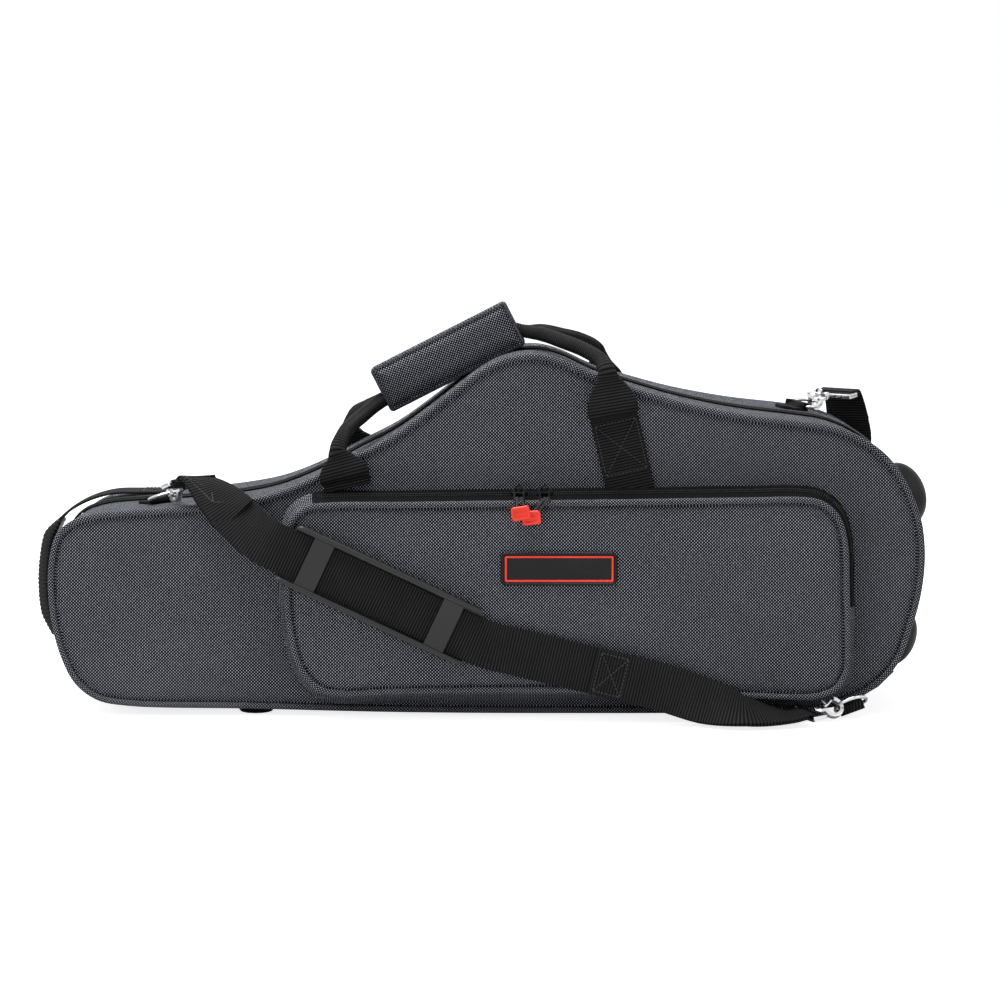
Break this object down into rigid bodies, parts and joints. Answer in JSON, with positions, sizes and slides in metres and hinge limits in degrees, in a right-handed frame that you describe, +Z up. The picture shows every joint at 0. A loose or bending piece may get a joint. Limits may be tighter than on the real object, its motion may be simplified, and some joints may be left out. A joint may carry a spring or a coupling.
{
  "type": "alto saxophone case",
  "caption": "Shaped zippered case for an alto saxophone, cloth covered, with front pocket, carry handles, end handle, clipped shoulder strap and fitted foam interior.",
  "frame": {"origin": "on the floor, at the middle of the whole case's footprint as it stands on its long side", "axes": "+X towards the bell end, +Z up, +Y from the pocket side to the rear panel"},
  "size_m": [0.735, 0.2626, 0.3259],
  "materials": {
    "case_cloth": "coarse ballistic weave",
    "black_webbing": "ribbed webbing",
    "zip_tape": "woven tape with coil",
    "plush": "short plush",
    "rubber": "matt",
    "black_plastic": "satin",
    "red_plastic": "satin",
    "dark_metal": "black enamel",
    "chrome": "polished"
  },
  "bodies": {
    "case": {"rear_shell": "case_cloth", "rear_zip_tape": "zip_tape", "hinge_tape": "black_webbing", "rear_insert": "plush", "bell_block": "plush", "rear_handle_web_right": "black_webbing", "rear_handle_web_left": "black_webbing", "rear_tab": "black_webbing", "rear_eye": "chrome", "rear_strap": "black_webbing", "end_handle_grip": "rubber", "end_handle_web": "black_webbing", "end_handle_lower_web": "black_webbing", "rear_foot_left": "rubber", "rear_foot_right": "rubber"},
    "lid": {"front_shell": "case_cloth", "front_piping": "case_cloth", "front_zip_tape": "zip_tape", "front_insert": "plush", "pocket_rim": "case_cloth", "pocket_zip_rear": "zip_tape", "front_handle_web_right": "black_webbing", "front_handle_web_left": "black_webbing", "shoulder_strap": "black_webbing", "left_tab": "black_webbing", "left_eye": "chrome", "right_tab": "black_webbing", "right_eye": "chrome", "front_foot": "rubber", "corner_guard": "rubber", "end_bumper_upper": "rubber", "end_bumper_lower": "rubber"},
    "front_handle": {"front_handle_loop": "black_webbing", "front_grip_leaf": "case_cloth"},
    "rear_handle": {"rear_handle_loop": "black_webbing", "rear_grip_leaf": "case_cloth"},
    "pocket": {"pocket_front": "case_cloth", "pocket_piping": "case_cloth", "pocket_zip_front": "zip_tape", "badge": "rubber"},
    "strap_pad": {"shoulder_pad": "black_plastic"},
    "upper_zip": {"upper_zip_slider": "dark_metal"},
    "upper_zip_tag": {"upper_zip_pull": "dark_metal"},
    "lower_zip": {"lower_zip_slider": "dark_metal"},
    "lower_zip_tag": {"lower_zip_pull": "dark_metal"},
    "pocket_slider_left_body": {"pocket_slider_left": "dark_metal"},
    "pocket_link_left_body": {"pocket_link_left": "dark_metal"},
    "pocket_tab_left_body": {"pocket_tab_left": "red_plastic"},
    "pocket_slider_right_body": {"pocket_slider_right": "dark_metal"},
    "pocket_link_right_body": {"pocket_link_right": "dark_metal"},
    "pocket_tab_right_body": {"pocket_tab_right": "red_plastic"},
    "left_ring_body": {"left_ring": "chrome"},
    "left_hook_body": {"left_hook": "chrome"},
    "left_gate_body": {"left_hook_gate": "chrome"},
    "right_ring_body": {"right_ring": "chrome"},
    "right_hook_body": {"right_hook": "chrome"},
    "right_gate_body": {"right_hook_gate": "chrome"},
    "rear_ring_body": {"rear_ring": "chrome"},
    "rear_hook_body": {"rear_hook": "chrome"},
    "rear_gate_body": {"rear_hook_gate": "chrome"}
  },
  "joints": [
    {"name": "lid_hinge", "type": "hinge", "parent": "case", "child": "lid", "pos_m": [0.00687, 0.03478, 0.0038], "axis": [1, 0, 0], "range_deg": [0, 150]},
    {"name": "front_handle_fold", "type": "hinge", "parent": "lid", "child": "front_handle", "pos_m": [0.10819, -0.07002, 0.24074], "axis": [0.9742, 0, 0.2259], "range_deg": [0, 100]},
    {"name": "rear_handle_fold", "type": "hinge", "parent": "case", "child": "rear_handle", "pos_m": [0.10819, 0.11958, 0.24074], "axis": [-0.9742, 0, -0.2259], "range_deg": [0, 150]},
    {"name": "pocket_tip", "type": "hinge", "parent": "lid", "child": "pocket", "pos_m": [0.00687, -0.07722, 0.012], "axis": [1, 0, 0], "range_deg": [0, 18], "deforming": ["shoulder_strap"]},
    {"name": "pad_slide", "type": "slide", "parent": "pocket", "child": "strap_pad", "axis": [0.9045, 0, -0.4264], "range_m": [-0.02, 0.02]},
    {"name": "pocket_zip_left_slide", "type": "slide", "parent": "pocket", "child": "pocket_slider_left_body", "axis": [-0.9999, 0, -0.0119], "range_m": [0, 0.13]},
    {"name": "pocket_link_left_turn", "type": "hinge", "parent": "pocket_slider_left_body", "child": "pocket_link_left_body", "pos_m": [0.0329, -0.0773, 0.18481], "axis": [1, 0, 0], "range_deg": [-80, 0]},
    {"name": "pocket_tab_left_turn", "type": "hinge", "parent": "pocket_link_left_body", "child": "pocket_tab_left_body", "pos_m": [0.0329, -0.09777, 0.17856], "axis": [1, 0, 0], "range_deg": [-90, 0]},
    {"name": "pocket_zip_right_slide", "type": "slide", "parent": "pocket", "child": "pocket_slider_right_body", "axis": [0.9999, 0, 0.0119], "range_m": [0, 0.135]},
    {"name": "pocket_link_right_turn", "type": "hinge", "parent": "pocket_slider_right_body", "child": "pocket_link_right_body", "pos_m": [0.05303, -0.0773, 0.18481], "axis": [1, 0, 0], "range_deg": [-80, 0]},
    {"name": "pocket_tab_right_turn", "type": "hinge", "parent": "pocket_link_right_body", "child": "pocket_tab_right_body", "pos_m": [0.05303, -0.09777, 0.17856], "axis": [1, 0, 0], "range_deg": [-90, 0]},
    {"name": "upper_zip_slide", "type": "slide", "parent": "case", "child": "upper_zip", "axis": [-0.1203, 0, 0.9927], "range_m": [0, 0.03]},
    {"name": "upper_zip_tag_turn", "type": "hinge", "parent": "upper_zip", "child": "upper_zip_tag", "pos_m": [0.35873, 0.03477, 0.14998], "axis": [0, -1, 0], "range_deg": [0, 90]},
    {"name": "lower_zip_slide", "type": "slide", "parent": "case", "child": "lower_zip", "axis": [-0.14, 0, -0.9902], "range_m": [0, 0.03]},
    {"name": "lower_zip_tag_turn", "type": "hinge", "parent": "lower_zip", "child": "lower_zip_tag", "pos_m": [0.35978, 0.03479, 0.11235], "axis": [0, -1, 0], "range_deg": [0, 90]},
    {"name": "left_ring_turn", "type": "hinge", "parent": "lid", "child": "left_ring_body", "pos_m": [-0.25897, -0.01282, 0.16867], "axis": [-0.773, -0.6324, -0.0502], "range_deg": [0, 25]},
    {"name": "left_hook_swivel", "type": "hinge", "parent": "left_ring_body", "child": "left_hook_body", "pos_m": [-0.25373, -0.01945, 0.17177], "axis": [0.5801, -0.7401, 0.3401], "range_deg": [-12, 12]},
    {"name": "left_gate_turn", "type": "hinge", "parent": "left_hook_body", "child": "left_gate_body", "pos_m": [-0.2406, -0.03632, 0.18115], "axis": [-0.773, -0.6324, -0.0502], "range_deg": [0, 18], "stiffness_Nm_per_rad": 0.01},
    {"name": "right_ring_turn", "type": "hinge", "parent": "lid", "child": "right_ring_body", "pos_m": [0.29839, -0.07422, 0.00867], "axis": [0.9372, 0, 0.3489], "range_deg": [-8, 0]},
    {"name": "right_hook_swivel", "type": "hinge", "parent": "right_ring_body", "child": "right_hook_body", "pos_m": [0.2968, -0.08201, 0.01288], "axis": [-0.9187, -0.3795, -0.1098], "range_deg": [-12, 12]},
    {"name": "right_gate_turn", "type": "hinge", "parent": "right_hook_body", "child": "right_gate_body", "pos_m": [0.27488, -0.09009, 0.01157], "axis": [-0.2491, 0.7772, -0.5779], "range_deg": [0, 18], "stiffness_Nm_per_rad": 0.01},
    {"name": "rear_ring_turn", "type": "hinge", "parent": "case", "child": "rear_ring_body", "pos_m": [0.26607, 0.06824, 0.2388], "axis": [0.664, -0.7344, -0.1408], "range_deg": [0, 25]},
    {"name": "rear_hook_swivel", "type": "hinge", "parent": "rear_ring_body", "child": "rear_hook_body", "pos_m": [0.2728, 0.07413, 0.23985], "axis": [0.6704, 0.7305, 0.1301], "range_deg": [-12, 12]},
    {"name": "rear_gate_turn", "type": "hinge", "parent": "rear_hook_body", "child": "rear_gate_body", "pos_m": [0.28841, 0.09086, 0.2444], "axis": [0.7409, -0.6608, -0.1201], "range_deg": [0, 18], "stiffness_Nm_per_rad": 0.01}
  ]
}
